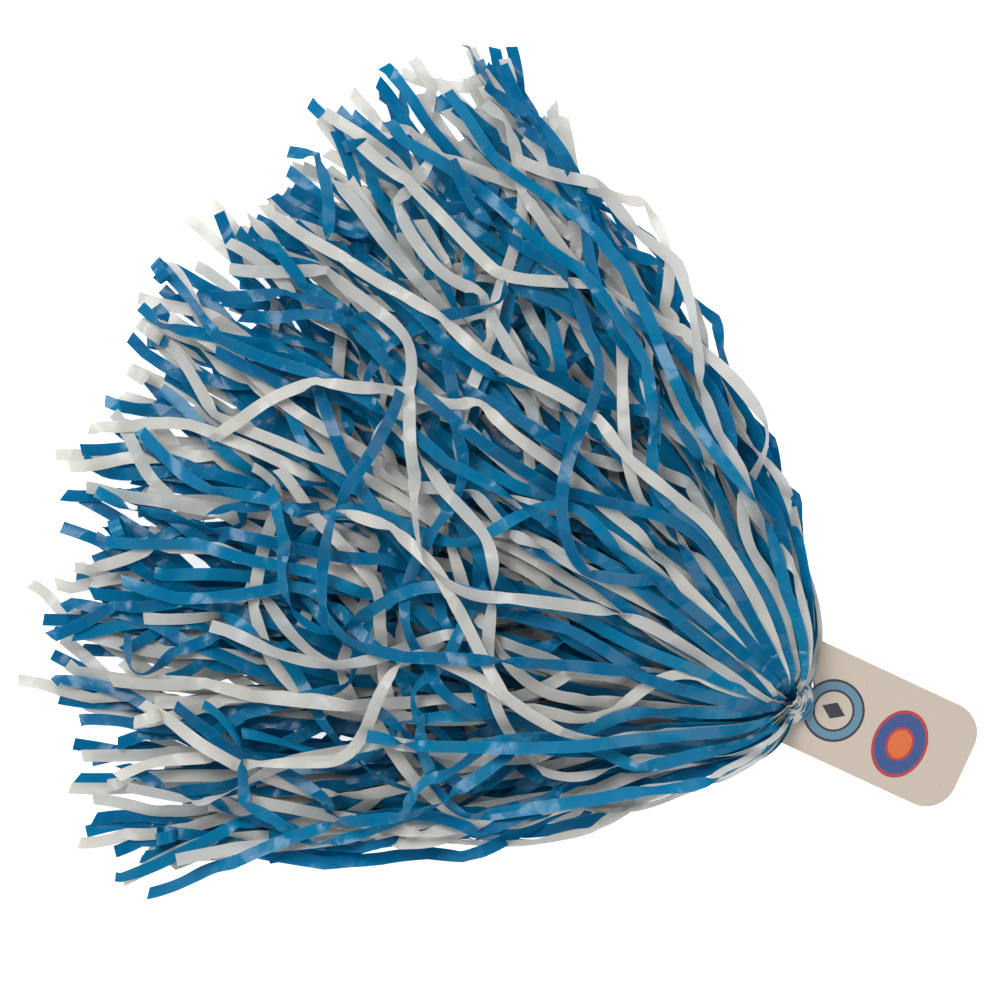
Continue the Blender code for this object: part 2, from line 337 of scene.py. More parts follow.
def waves(rng, lengths, shortest, longest, terms=4):
    """A smooth random curve of about unit size, of sine waves between two wavelengths."""
    total = np.zeros(len(lengths))
    for _ in range(terms):
        wavelength = math.exp(rng.uniform(math.log(shortest), math.log(longest)))
        total += np.sin(math.tau * (lengths / wavelength + rng.uniform()))
    return total * math.sqrt(2 / terms)


def creased(rng, lengths, shortest, longest):
    """A random curve of about unit size that runs straight between creases."""
    places = [0.0]
    while places[-1] < lengths[-1]:
        places.append(places[-1] + rng.uniform(shortest, longest))
    return np.interp(lengths, places, rng.normal(0, 1, len(places)))


def maybe(rng, chance, limits, otherwise=0.0):
    """A value between two limits where chance has it, else the other value."""
    return rng.uniform(*limits) if rng.uniform() < chance else otherwise


def bell(values, centre, spread):
    """A hump of height 1 about a centre."""
    return np.exp(-(((values - centre) / spread) ** 2))


def flat_rows(xs, ys):
    """Rows of points or directions at height 0."""
    return np.column_stack((xs, ys, np.zeros(len(xs))))


def unit(vectors):
    """The rows of vectors, each made one long."""
    return vectors / np.linalg.norm(vectors, axis=1)[:, None]


def distances(points):
    """How far along the line each of its points is."""
    steps = np.linalg.norm(np.diff(points, axis=0), axis=1)
    return np.concatenate(([0.0], np.cumsum(steps)))


def outer_angle(radius):
    """Half angle of the fan at a distance from the hole."""
    narrowing = 1 - math.exp(-(radius - ROOT_RADIUS) / BELL_LENGTH)
    full = 1 - math.exp(-(REACH - ROOT_RADIUS) / BELL_LENGTH)
    return ROOT_HALF_ANGLE + (TIP_HALF_ANGLE - ROOT_HALF_ANGLE) * narrowing / full


def paddle_top(y):
    """Height of the paddle's upper face at a place along the handle."""
    return GRIP_POINT.z + (y - GRIP_POINT.y) * GRIP_SLOPE


def add_object(name, data):
    """Put a new object in the scene."""
    item = bpy.data.objects.new(name, data)
    bpy.context.scene.collection.objects.link(item)
    return item


def add_mesh(name, vertices, faces, material):
    """Put a new mesh of one material in the scene."""
    mesh = bpy.data.meshes.new(name)
    mesh.from_pydata(vertices, [], faces)
    mesh.materials.append(material)
    return add_object(name, mesh)


# ---- streamer paths


class Strip:
    """One streamer: its place, its length and how it bends."""

    def __init__(self, rng, share, level, front, group):
        self.rng, self.share, self.level = rng, share, level
        self.front, self.group = front, group
        self.tone = rng.uniform()
        self.on_top = front and level > TOP_LEVEL
        self.wild = rng.uniform() < (WILD.chance_on_top if self.on_top else WILD.chance_below)
        self.length = STRIP_LENGTH + rng.normal(0, LENGTHS.spread)
        self.length *= maybe(rng, LENGTHS.short_chance, LENGTHS.short, 1.0)
        edge = max(0.0, abs(share) - LENGTHS.edge_from) / (1 - LENGTHS.edge_from)
        self.length *= 1 - rng.uniform(*LENGTHS.edge_cut) * edge
        self.curl_turns = maybe(rng, CURL.chance, CURL.turns)
        self.fold_at = maybe(rng, FOLD.chance, FOLD.at, 1.0)
        self.bow = maybe(rng, BOW.chance, BOW.angle) * edge
        self.bow_at = rng.uniform(*BOW.at)
        self.stray = maybe(rng, STRAY.chance, STRAY.angle) if self.on_top else 0.0
        self.stray_from = rng.uniform(*STRAY.at)
        self.stray_span = rng.uniform(*STRAY.span)
        may_cross = self.on_top and share < CROSSING.below
        self.crossing = maybe(rng, CROSSING.chance, CROSSING.share) if may_cross else 0.0
        self.flick = rng.normal(0, FLICK.angle)
        self.root = rng.normal(0, ROOT_SPREAD, 2)
        self.pleat = rng.uniform(*PLEAT)
        self.root_radius = BUNDLE_RADIUS * (1 - level) * BUNDLE_PACKING


def fan_angle(strip, share, radius):
    """Angle from the handle's line at which the streamer lies, at a distance from the hole."""
    edge = max(0.0, abs(share) - WRAP_FROM) / (1 - WRAP_FROM)
    wrap = WRAP_ANGLE * edge**2 * math.exp(-((radius / WRAP_RADIUS) ** 2))
    gather = TIP_GATHER * abs(share) * min(1.0, max(0.0, radius - GATHER_FROM) / (REACH - GATHER_FROM))
    bow = math.radians(strip.bow) * math.exp(-(((radius - strip.bow_at) / BOW.spread) ** 2))
    side = 1 if share > 0 else -1
    return share * outer_angle(radius) + side * (wrap + bow - gather)


def drift(strip, lengths):
    """The streamer's share of the fan along its length, as it wanders over its neighbours."""
    rng = strip.rng
    shares = np.full(len(lengths), strip.share)
    for _ in range(DRIFT.times):
        start = rng.uniform(*DRIFT.at)
        span = rng.uniform(*DRIFT.span)
        change = rng.normal(0, DRIFT.wild if strip.wild else DRIFT.calm)
        shares += change * ramp(lengths, start, span)
    shares += strip.crossing * ramp(lengths, rng.uniform(*CROSSING.at), rng.uniform(*CROSSING.span))
    return np.clip(shares, min(-DRIFT.limit, strip.share), max(DRIFT.limit, strip.share))


def bends(strip, lengths):
    """How far the streamer's heading turns from the fan's flow, in radians."""
    rng = strip.rng
    flowing = math.radians(FLOW.angle) * waves(rng, lengths, *FLOW.waves)
    kinked = np.zeros(len(lengths))
    start = 0
    while start < len(lengths):
        stop = start + int(rng.uniform(*KINKS.apart) / STRIP_STEP)
        kinked[start:stop] = rng.normal(0, math.radians(KINKS.angle))
        start = stop
    free = ramp(lengths, *BENDS.free) + BENDS.tip_share * ramp(lengths, *BENDS.tip)
    turning = free * (flowing + kinked) * (WILD.bends if strip.wild else 1.0)
    turning += math.radians(strip.flick) * smooth((lengths - lengths[-1] + FLICK.length) / FLICK.over)
    if strip.stray:
        inward = -math.copysign(1, strip.share) if abs(strip.share) > STRAY.centre else rng.choice((-1, 1))
        leaves = ramp(lengths, strip.stray_from, STRAY.bend)
        returns = ramp(lengths - strip.stray_from, strip.stray_span, STRAY.bend)
        turning += inward * math.radians(strip.stray) * (leaves - returns)
    return turning


def plan_path(strip):
    """The streamer's points seen from above, about the hole, and its heading at each."""
    count = int(strip.length / STRIP_STEP)
    lengths = np.arange(count) * STRIP_STEP
    turning = bends(strip, lengths)
    shares = drift(strip, lengths)
    crossing = np.gradient(shares, STRIP_STEP)
    start = strip.root_radius + BUNDLE_START
    angle = fan_angle(strip, strip.share, start)
    x, y = start * math.sin(angle), start * math.cos(angle)
    fold_start = int(strip.fold_at * count)
    fold_span = int(strip.rng.uniform(*FOLD.span) / STRIP_STEP)
    fold_turn = -math.copysign(math.radians(strip.rng.uniform(*FOLD.turn)), strip.share)
    tiny = 0.001
    points, headings = [], []
    for index in range(count):
        radius = max(math.hypot(x, y), tiny)
        angle = math.atan2(x, y)
        wanted = fan_angle(strip, shares[index], radius)
        narrowing = (fan_angle(strip, shares[index], radius + tiny) - wanted) / tiny
        sideways = radius * (narrowing + outer_angle(radius) * crossing[index])
        heading = wanted + math.atan(sideways)
        if index < fold_start:
            heading += min(PULL.most, max(-PULL.most, (wanted - angle) * radius / PULL.over))
        heading += turning[index]
        if index > fold_start:
            heading += float(smooth((index - fold_start) / fold_span)) * fold_turn
        points.append((x, y))
        headings.append(heading)
        x += math.sin(heading) * STRIP_STEP
        y += math.cos(heading) * STRIP_STEP
    points = np.array(points)
    near = bell(np.hypot(points[:, 0], points[:, 1]), 0, GATHER_SHIFT_REACH)[:, None]
    points = points + near * (strip.level * np.array(GATHER_SHIFT) * strip.front + strip.root)
    return points, np.unwrap(np.array(headings)), lengths


def rolls(strip, headings, lengths):
    """How far the streamer leans: gently, on edge where it turns, or right over."""
    rng = strip.rng
    lively = ramp(lengths, *ROLL.free) * (1.0 if strip.on_top else ROLL.calm)
    roll = lively * math.radians(ROLL_WAVES.angle) * waves(rng, lengths, *ROLL_WAVES.waves)
    roll += lively * math.radians(ROLL_CREASES.angle) * creased(rng, lengths, *ROLL_CREASES.apart)
    turning = soften(np.gradient(headings, STRIP_STEP), BANK.passes)
    roll += lively * np.arctan(turning / BANK.turning)
    twists = rng.choice(TWIST.counts) if strip.on_top or rng.uniform() < TWIST.chance_below else 0
    for _ in range(twists):
        centre = rng.uniform(*TWIST.at)
        half = rng.uniform(*TWIST.half)
        turn = math.pi * rng.choice((-1, 1))
        roll += turn * smooth((lengths - centre + half) / (2 * half))
    if strip.on_top and rng.uniform() < LEAN.chance:
        centre = rng.uniform(*LEAN.at)
        half = rng.uniform(*LEAN.half)
        lean = math.radians(rng.uniform(*LEAN.angle)) * rng.choice((-1, 1))
        roll += lean * bell(lengths, centre, half)
    if strip.bow:
        roll += math.radians(BOW.roll) * bell(lengths, strip.bow_at, BOW.spread)
    return roll


def strip_width(strip, lengths):
    """The streamer's width: gathered narrow in the hole, full further out."""
    return STRIP_WIDTH * (NARROW_SHARE + (1 - NARROW_SHARE) * smooth(lengths / strip.pleat))


# ---- the pile


class Pile:
    """A height map, about the hole, of the table, the handle and the streamers laid so far."""

    def __init__(self):
        columns = int((MAP_HIGH[0] - MAP_LOW[0]) / CELL)
        rows = int((MAP_HIGH[1] - MAP_LOW[1]) / CELL)
        self.xs = MAP_LOW[0] + (np.arange(columns) + 0.5) * CELL
        self.ys = MAP_LOW[1] + (np.arange(rows) + 0.5) * CELL
        self.top = np.zeros((rows, columns))
        along = HINGE.y + self.ys
        on_paddle = (abs(self.xs)[None, :] < PADDLE_HIGH.x) & (along < PADDLE_HIGH.y)[:, None]
        height = paddle_top(along)[:, None] + np.zeros(columns)[None, :]
        self.paddle_upper = np.where(on_paddle, height, 0.0)
        self.ceiling = np.where(on_paddle, height - PADDLE_THICKNESS, NO_LIMIT)

    def cells(self, xs, ys):
        """Row and column of each place, kept inside the map."""
        columns = ((xs - MAP_LOW[0]) / CELL).astype(int).clip(0, self.top.shape[1] - 1)
        rows = ((ys - MAP_LOW[1]) / CELL).astype(int).clip(0, self.top.shape[0] - 1)
        return rows, columns


def footprint(points, headings, roll, width):
    """Places across the streamer at each point, and how far each is from its middle."""
    offsets = np.linspace(-0.5, 0.5, FOOTPRINT_COLUMNS)[None, :] * width[:, None]
    flat = offsets * np.cos(roll)[:, None]
    xs = points[:, 0:1] + flat * np.cos(headings)[:, None]
    ys = points[:, 1:2] - flat * np.sin(headings)[:, None]
    return xs, ys, offsets


def rest_heights(floor, start_heights):
    """Heights of a limp streamer that spans from bump to bump, from its fixed root."""
    fixed = len(start_heights)
    padded = np.concatenate((np.full(REST.reach, floor[0]), floor, np.full(REST.reach, floor[-1])))
    height = np.max([padded[i : i + len(floor)] for i in range(2 * REST.reach + 1)], axis=0)
    height[:fixed] = start_heights
    for _ in range(REST.passes):
        height[1:-1] = np.maximum(floor[1:-1], (height[:-2] + height[2:]) / 2 - REST.sag)
        height[-1] = max(floor[-1], height[-2] + REST.tip_run * (height[-2] - height[-3]) - REST.sag)
        height[:fixed] = start_heights
    return height


def bundle_heights(strip, radii):
    """The streamer's height in the gathered bundle, which opens above and below the handle."""
    top = paddle_top(HINGE.y)
    if strip.front:
        dive = 1 - BUNDLE_FRONT.dive * bell(radii, 0, BUNDLE_FRONT.dive_radius)
        room = BUNDLE_HEIGHT * dive + BUNDLE_FRONT.opening * radii
        return top + BUNDLE_GAP + strip.level**BUNDLE_FRONT.spread * room
    under = top - PADDLE_THICKNESS - BUNDLE_GAP
    room = BUNDLE_BACK.height * BUNDLE_HEIGHT + BUNDLE_BACK.opening * radii
    return np.maximum(under - (1 - strip.level) * room, BUNDLE_BACK.least)


def liveliness(strip, lengths):
    """How far the streamer springs up, and its creases hold it, off what it lies on."""
    rng = strip.rng
    free = ramp(lengths, *BOUNCE.free)
    spring = 0.5 + 0.5 * np.clip(waves(rng, lengths, *BOUNCE.waves), -1, 1)
    bounce = rng.uniform(*(BOUNCE.on_top if strip.on_top else BOUNCE.below))
    crumple = CRUMPLE.on_top if strip.on_top else CRUMPLE.below
    return free * (spring * bounce + abs(creased(rng, lengths, *CRUMPLE.apart)) * crumple)


def gaps(strip, radii):
    """The room between the streamer and the next one on it, least in the hole."""
    loose = GAP.on_top if strip.on_top else GAP.below
    gap = GAP.least + loose * smooth(radii / GAP.full_at)
    if strip.front and strip.level < SOLE_GAP.level:
        gap = gap + SOLE_GAP.size * smooth(radii / SOLE_GAP.full_at) * (1 - ramp(radii, *SOLE_GAP.fade))
    return gap


def lay_strip(pile, strip):
    """Find the streamer's heights on the pile, and add it."""
    points, headings, lengths = plan_path(strip)
    roll = rolls(strip, headings, lengths)
    width = strip_width(strip, lengths)
    xs, ys, offsets = footprint(points, headings, roll, width)
    radii = strip.root_radius + lengths
    uppermost = strip.front and strip.level > UPPERMOST.level
    reach = BUNDLE_REACH * (UPPERMOST.reach if uppermost else 1.0)
    loose = ramp(radii, HELD_SHARE * reach, (1 - HELD_SHARE) * reach)
    bundle = bundle_heights(strip, radii)
    lean = 0.5 * width * abs(np.sin(roll))
    cells = pile.cells(xs, ys)
    floor = pile.top[cells].max(axis=1) + REST.lean * lean + REST.gap
    floor = bundle + loose * (floor - bundle)
    height = rest_heights(floor, bundle[:2])
    height = np.maximum(soften(height, 1), floor - REST.give)
    height = height + liveliness(strip, lengths)
    if not strip.front:
        ceiling = pile.ceiling[cells].min(axis=1) - CEILING.gap
        ceiling = ceiling * (CEILING.least + (1 - CEILING.least) * strip.level) - lean
        height = np.minimum(height, ceiling)
    height = np.maximum(height, lean + FILM_THICKNESS)
    at = np.arange(len(lengths))
    fine_at = np.linspace(0, at[-1], FOOTPRINT_DETAIL * at[-1] + 1)
    surface = height[:, None] + offsets * np.sin(roll)[:, None] + gaps(strip, radii)[:, None]
    xs, ys, surface = (
        np.stack([np.interp(fine_at, at, column) for column in grid.T], axis=1) for grid in (xs, ys, surface)
    )
    outside = np.interp(fine_at, at, radii) > BUNDLE_CORE * BUNDLE_REACH
    np.maximum.at(pile.top, pile.cells(xs[outside], ys[outside]), surface[outside])
    return points, headings, roll, width, height


def blurred(grid, reach, passes):
    """The grid, averaged over square neighbourhoods."""
    for _ in range(passes):
        for axis in (0, 1):
            total = sum(np.roll(grid, shift, axis=axis) for shift in range(-reach, reach + 1))
            grid = total / (2 * reach + 1)
    return grid


def widened(grid, reach):
    """Each cell takes the highest value of the cells about it."""
    for axis in (0, 1):
        grid = np.max([np.roll(grid, shift, axis=axis) for shift in range(-reach, reach + 1)], axis=0)
    return grid


def wanted_top(xs, ys):
    """Height of the settled pile: fullest a third of the way out, thin at tips and sides."""
    radii = np.hypot(xs, ys)
    rise = ramp(radii, RISE_FROM, PEAK_AT - RISE_FROM)
    fall = ramp(radii, PEAK_AT, REACH - PEAK_AT)
    height = ROOT_TOP + (PEAK_TOP - ROOT_TOP) * rise + (TIP_TOP - PEAK_TOP) * fall
    narrowing = 1 - np.exp(-np.maximum(radii - ROOT_RADIUS, 0) / BELL_LENGTH)
    outer = ROOT_HALF_ANGLE + (TIP_HALF_ANGLE - ROOT_HALF_ANGLE) * narrowing
    side = np.clip(np.abs(np.arctan2(xs, ys)) / outer, 0, 1)
    return height * (1 - SIDE_FALL * side**3)


class Press:
    """Settles the pile: what lies deep is pressed flat. A shell on top and a sole below stay loose."""

    def __init__(self, pile, limit, on_paddle):
        self.xs, self.ys = pile.xs, pile.ys
        self.grid = np.meshgrid(self.xs, self.ys)
        self.base = blurred(widened(pile.paddle_upper, BASE_WIDENING), *BASE_BLUR) * on_paddle
        self.top = np.maximum(blurred(pile.top, *TOP_BLUR), LEAST_PILE)
        wanted = np.minimum(wanted_top(*self.grid), limit)
        self.wanted = blurred(np.minimum(self.top, wanted), *WANTED_BLUR)

    def sample(self, grid, xs, ys):
        """The grid's value at each place, blended between its cells."""
        inside = 1.001
        column = np.clip((xs - self.xs[0]) / CELL, 0, len(self.xs) - inside)
        row = np.clip((ys - self.ys[0]) / CELL, 0, len(self.ys) - inside)
        left, low = column.astype(int), row.astype(int)
        across, up = column - left, row - low
        lower = grid[low, left] * (1 - across) + grid[low, left + 1] * across
        upper = grid[low + 1, left] * (1 - across) + grid[low + 1, left + 1] * across
        return lower * (1 - up) + upper * up

    def settled(self, xs, ys, heights):
        """The settled height of each point. What lies on the handle's end isn't pressed into it."""
        base = self.sample(self.base, xs, ys)
        top = np.maximum(self.sample(self.top, xs, ys) - base, LEAST_PILE)
        wanted = np.maximum(self.sample(self.wanted, xs, ys) - base, LEAST_PRESSED)
        shell = np.minimum(LOOSE_SHELL, SHELL_SHARE * wanted)
        sole = np.minimum(LOOSE_SOLE, SOLE_SHARE * wanted)
        above = heights - base
        deep = np.maximum(top - shell - sole, TINY)
        squeeze = np.clip((wanted - shell - sole) / deep, 0, 1)
        pressed = np.minimum(above, sole) + squeeze * np.clip(above - sole, 0, deep)
        pressed = pressed + np.maximum(above - sole - deep, 0)
        weight = ramp(np.hypot(xs, ys), *PRESS_EDGE) * (above > 0)
        return heights + weight * (pressed - above)

    def settle(self, pile, laid):
        """Settle the height map and every streamer laid so far, and tilt none much further."""
        pile.top = self.settled(*self.grid, pile.top)
        for points in laid:
            faces = points.reshape(2, -1, 3, 3)
            limit = np.maximum(abs(faces[..., 2] - faces[:1, :, 1:2, 2]), LEAN_LIMIT)
            height = self.settled(faces[..., 0], faces[..., 1], faces[..., 2])
            middle = height[:1, :, 1:2]
            height = middle + np.clip(height - middle, -limit, limit)
            faces[..., 2] = np.maximum(height, 0.5 * FILM_THICKNESS)


# ---- streamer meshes


def curl_points(strip, centre, heading):
    """Points of a tightening curl beyond the streamer's end, and the direction across it."""
    outward = np.array((math.sin(heading), math.cos(heading), 0.0))
    sideways = np.array((math.cos(heading), -math.sin(heading), 0.0))
    sidestep = strip.rng.choice((-1, 1)) * CURL_DRIFT
    radius = strip.rng.uniform(*CURL.radius)
    turned = 0.0
    place = centre.copy()
    points = []
    while turned < math.tau * strip.curl_turns:
        turned += CURL_STEP / radius
        radius = max(CURL.least, radius * CURL.tighter)
        ahead = outward * math.cos(turned) + np.array((0, 0, 1.0)) * math.sin(turned)
        place = place + ahead * CURL_STEP + sideways * sidestep * CURL_STEP / radius / math.tau
        points.append(place)
    return np.array(points), sideways


def ribbon_rows(strip, laid):
    """The streamer's centre line, the direction across it, its roll and its width."""
    points, headings, roll, width, height = laid
    centres = np.column_stack((points, height))
    across = flat_rows(np.cos(headings), -np.sin(headings))
    if strip.curl_turns:
        extra, sideways = curl_points(strip, centres[-1], headings[-1])
        centres = np.vstack((centres, extra))
        across = np.vstack((across, np.tile(sideways, (len(extra), 1))))
        roll = np.concatenate((roll, np.full(len(extra), roll[-1])))
        width = np.concatenate((width, np.full(len(extra), width[-1])))
    return centres, across, roll, width


def refined(values):
    """The values with one more between the first rows, on a smooth curve through them."""
    here, ahead = values[:FINE_ROWS], values[1 : FINE_ROWS + 1]
    before = np.concatenate((values[:1], values[: FINE_ROWS - 1]))
    beyond = values[2 : FINE_ROWS + 2]
    between = (9 * (here + ahead) - before - beyond) / 16
    head = np.stack((here, between), axis=1).reshape(2 * FINE_ROWS, *values.shape[1:])
    return np.concatenate((head, values[FINE_ROWS:]))


def ribbon_mesh(strip, laid):
    """Vertices, quads and texture values of one streamer."""
    centres, across, roll, width = (refined(refined(values)) for values in ribbon_rows(strip, laid))
    along = unit(np.gradient(centres, axis=0))
    upward = unit(np.cross(across, along))
    side = across * np.cos(roll)[:, None] + upward * np.sin(roll)[:, None]
    normal = unit(np.cross(side, along))
    reach = distances(centres)
    crown = CROWN.height * smooth(reach / CROWN.full_at) * waves(strip.rng, reach, *CROWN.waves)
    skew = strip.rng.normal(0, CUT_SKEW)
    upper = three_rows(centres, side, width, normal, crown)
    upper[-1] += np.outer((-1, 0, 1), along[-1] * skew)
    return thin_ribbon(upper, normal, reach, strip.tone)


def three_rows(centres, across, width, normal, crown):
    """Points on both edges of a ribbon and along its crowned middle."""
    half = np.outer(np.broadcast_to(width, len(centres)) / 2, (-1, 0, 1))
    upper = centres[:, None, :] + across[:, None, :] * half[:, :, None]
    upper[:, 1] += normal * crown[:, None]
    return upper


def thin_ribbon(upper, normal, reach, tone):
    """Vertices, quads and texture values of a closed ribbon under three rows of points."""
    lower = upper - normal[:, None, :] * FILM_THICKNESS
    count = len(upper)
    vertices = np.concatenate((upper.reshape(-1, 3), lower.reshape(-1, 3)))
    index = np.arange(count * 3).reshape(count, 3)
    below = index + count * 3
    quads = []
    for column in (0, 1):
        near, far = index[:-1, column], index[1:, column]
        near_next, far_next = index[:-1, column + 1], index[1:, column + 1]
        quads.append(np.stack((near, near_next, far_next, far), axis=1))
        quads.append(np.stack((near, far, far_next, near_next), axis=1) + count * 3)
    quads.append(np.stack((index[:-1, 0], index[1:, 0], below[1:, 0], below[:-1, 0]), axis=1))
    quads.append(np.stack((index[1:, 2], index[:-1, 2], below[:-1, 2], below[1:, 2]), axis=1))
    for row, order in ((0, 1), (count - 1, -1)):
        for column in (0, 1):
            cap = (index[row, column], below[row, column], below[row, column + 1], index[row, column + 1])
            quads.append(np.array([cap[::order]]))
    places = np.tile(np.repeat(reach, 3), 2)
    sides = np.tile((-1.0, 0.0, 1.0), 2 * count)
    tones = np.full(len(vertices), tone)
    return vertices, np.concatenate(quads), (places, sides, tones)


def build_piece(name, ribbons, material):
    """One mesh from many ribbons, with the values that its material reads."""
    vertices, quads, values = zip(*ribbons)
    firsts = np.cumsum([0] + [len(part) for part in vertices[:-1]])
    points = np.concatenate(vertices)
    points[:, 1] += HINGE.y
    corners = np.concatenate([part + first for part, first in zip(quads, firsts)])
    piece = add_mesh(name, points.tolist(), corners.tolist(), material)
    for label, parts in zip(STRIP_VALUES, zip(*values)):
        attribute = piece.data.attributes.new(label, "FLOAT", "POINT")
        attribute.data.foreach_set("value", np.concatenate(parts).astype(np.float32))
    piece.data.shade_smooth()
    piece.data.set_sharp_from_angle(angle=SHARP_ANGLE)
    return piece


# ---- groups of streamers


def layer_groups():
    """Each film layer of the frame: its names, side, count and range of levels in its half of the pile."""
    groups = []
    colours = ("blue", BLUE_SHARE), ("white", 1 - BLUE_SHARE)
    for half, counts, places in HALVES:
        layers = product(counts.items(), colours, zip(places, LAYER_LEVELS))
        for (tuft, count), (colour, part), (place, levels) in layers:
            groups.append(Group(
                node=f"{half}_{tuft}_{colour}_{place}",
                body=f"{half}_{tuft}",
                front=half == "front",
                tuft=tuft,
                colour=colour,
                count=round(count * part / 2),
                levels=levels,
            ))
    return groups


def make_strips(groups):
    """Every streamer, in the order that they are laid."""
    rng = np.random.default_rng(SEED)
    strips = []
    for number, group in enumerate(groups):
        count = group.count
        left, right = TUFT_SHARES[group.front][group.tuft]
        shares = left + (right - left) * (np.arange(count) + rng.uniform(*SCATTER, count)) / count
        low, high = group.levels
        levels = low + (high - low) * ((np.arange(count) * GOLDEN + rng.uniform()) % 1)
        for share, level in zip(shares, levels):
            own = np.random.default_rng(rng.integers(1 << 30))
            strips.append(Strip(own, float(share), float(level), group.front, number))
    strips.sort(key=lambda strip: (strip.front, strip.level))
    return strips


def make_streamers(materials):
    """Lay all streamers and make one piece for each film layer."""
    groups = layer_groups()
    ribbons = [[] for _ in groups]
    flat_lengths = [0.0 for _ in groups]
    pile = Pile()
    laid = []
    paddle_laid = False
    for strip in make_strips(groups):
        if strip.front and not paddle_laid:
            Press(pile, BACK_TOP, on_paddle=False).settle(pile, laid)
            pile.top = np.maximum(pile.top, pile.paddle_upper)
            paddle_laid = True
        ribbon = ribbon_mesh(strip, lay_strip(pile, strip))
        laid.append(ribbon[0])
        ribbons[strip.group].append(ribbon)
        flat_lengths[strip.group] += strip.length
    Press(pile, NO_LIMIT, on_paddle=True).settle(pile, laid)
    for group, made, flat_length in zip(groups, ribbons, flat_lengths):
        piece = build_piece(f"film_{group.node}", made, materials[group.colour])
        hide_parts(group.node)
        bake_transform(piece)


# ---- gathered film in the hole


def wrapped_band(rng, radius, height, lean, under):
    """Points along a band about the gathered film on the grip side, and directions across it."""
    turn = np.linspace(-1, 1, BAND.rows)
    lengths = np.arange(BAND.rows) * BAND.step
    angle = math.pi + turn * math.radians(rng.uniform(*BAND.sweep)) + rng.uniform(*BAND.turn)
    leg = np.maximum(0, abs(turn) - LEG.start) / (1 - LEG.start)
    wobble = creased(rng, lengths, *BAND_CREASES.wobble)
    reach = radius * (1 + BAND_CREASES.radius * wobble) + LEG.out * leg**2
    bob = BAND_CREASES.bob * creased(rng, lengths, *BAND_CREASES.apart)
    side_lean = lean + BAND_CREASES.lean * creased(rng, lengths, *BAND_CREASES.apart)
    out = flat_rows(np.sin(angle), np.cos(angle))
    centres = out * reach[:, None] + CORE_CENTRE + np.outer(height + bob - LEG.down * leg, (0, 0, 1))
    flip = -1 if under else 1
    across = -out * np.cos(side_lean)[:, None] + np.outer(flip * np.sin(side_lean), (0, 0, 1))
    return centres, across


def wrapped_bands(rng, bands, face, under):
    """The bands on one face of the handle, from the innermost and highest to the rim."""
    shapes = []
    for band in range(bands.count):
        share = band / (bands.count - 1)
        radius = bands.radius + share * (CORE_RADIUS - bands.radius)
        height = face + bands.height + bands.rise * (1 - share) ** bands.curve
        lean = math.radians(bands.lean - bands.flattening * share)
        shapes.append(wrapped_band(rng, radius, height, lean, under))
    return shapes


def through_strip(rng, angle, low, high):
    """Points along a streamer that passes up through the hole, and directions across it."""
    rise = np.linspace(0, 1, THROUGH.rows)
    flare = abs(2 * rise - 1) ** 3
    radius = rng.uniform(*THROUGH_RADIUS.share) * CORE_RADIUS
    radius = radius * (THROUGH_RADIUS.waist + THROUGH_RADIUS.flare * flare)
    lengths = rise * THROUGH_CREASES.length
    turned = angle + THROUGH_CREASES.turn * creased(rng, lengths, *THROUGH_CREASES.apart)
    out = flat_rows(np.sin(turned), np.cos(turned))
    centres = out * radius[:, None] + CORE_CENTRE * rise[:, None]
    centres = centres + np.outer(low + (high - low) * rise, (0, 0, 1))
    across = flat_rows(np.cos(turned), -np.sin(turned))
    return centres, across


def core_ribbon(rng, centres, across, tone):
    """One ribbon of the gathered film, and its length."""
    along = unit(np.gradient(centres, axis=0))
    normal = unit(np.cross(across, along))
    reach = distances(centres)
    crown = CORE_CROWN.height * creased(rng, reach, *CORE_CROWN.apart)
    upper = three_rows(centres, across, CORE_NARROWING * STRIP_WIDTH, normal, crown)
    return thin_ribbon(upper, normal, reach, tone), reach[-1]


def make_core(material):
    """The film gathered in the hole: bands wrapped above and below it, and ends that pass through."""
    rng = np.random.default_rng(SEED + 1)
    top = paddle_top(HINGE.y)
    shapes = wrapped_bands(rng, TOP_BANDS, top, False)
    shapes += wrapped_bands(rng, UNDER_BANDS, top - PADDLE_THICKNESS, True)
    for number in range(THROUGH.count):
        angle = math.tau * (number + rng.uniform(-THROUGH.uneven, THROUGH.uneven)) / THROUGH.count
        shapes.append(through_strip(rng, angle, THROUGH.low, top + THROUGH.rise))
    ribbons, total = [], 0.0
    for number, (centres, across) in enumerate(shapes):
        tone = GATHERED_BLUE if number % 2 else GATHERED_WHITE
        ribbon, length = core_ribbon(rng, centres, across, tone)
        ribbons.append(ribbon)
        total += length
    core = build_piece("film_streamer_core", ribbons, material)
    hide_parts("streamer_core")
    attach(core, "handle")


# ---- print on the handle


def outline(corners, half_width, half_length, roundness):
    """Points of a polygon about nothing, from straight sides at roundness 0 to a circle at 1."""
    points = []
    sector = math.tau / corners
    count = corners * CORNER_STEPS
    for step in range(count):
        angle = math.tau * step / count
        within = (angle + sector / 2) % sector - sector / 2
        flat = math.cos(sector / 2) / math.cos(sector / 2 - abs(within))
        reach = flat + (1 - flat) * roundness
        points.append((half_width * reach * math.sin(angle), half_length * reach * math.cos(angle)))
    return np.array(points)


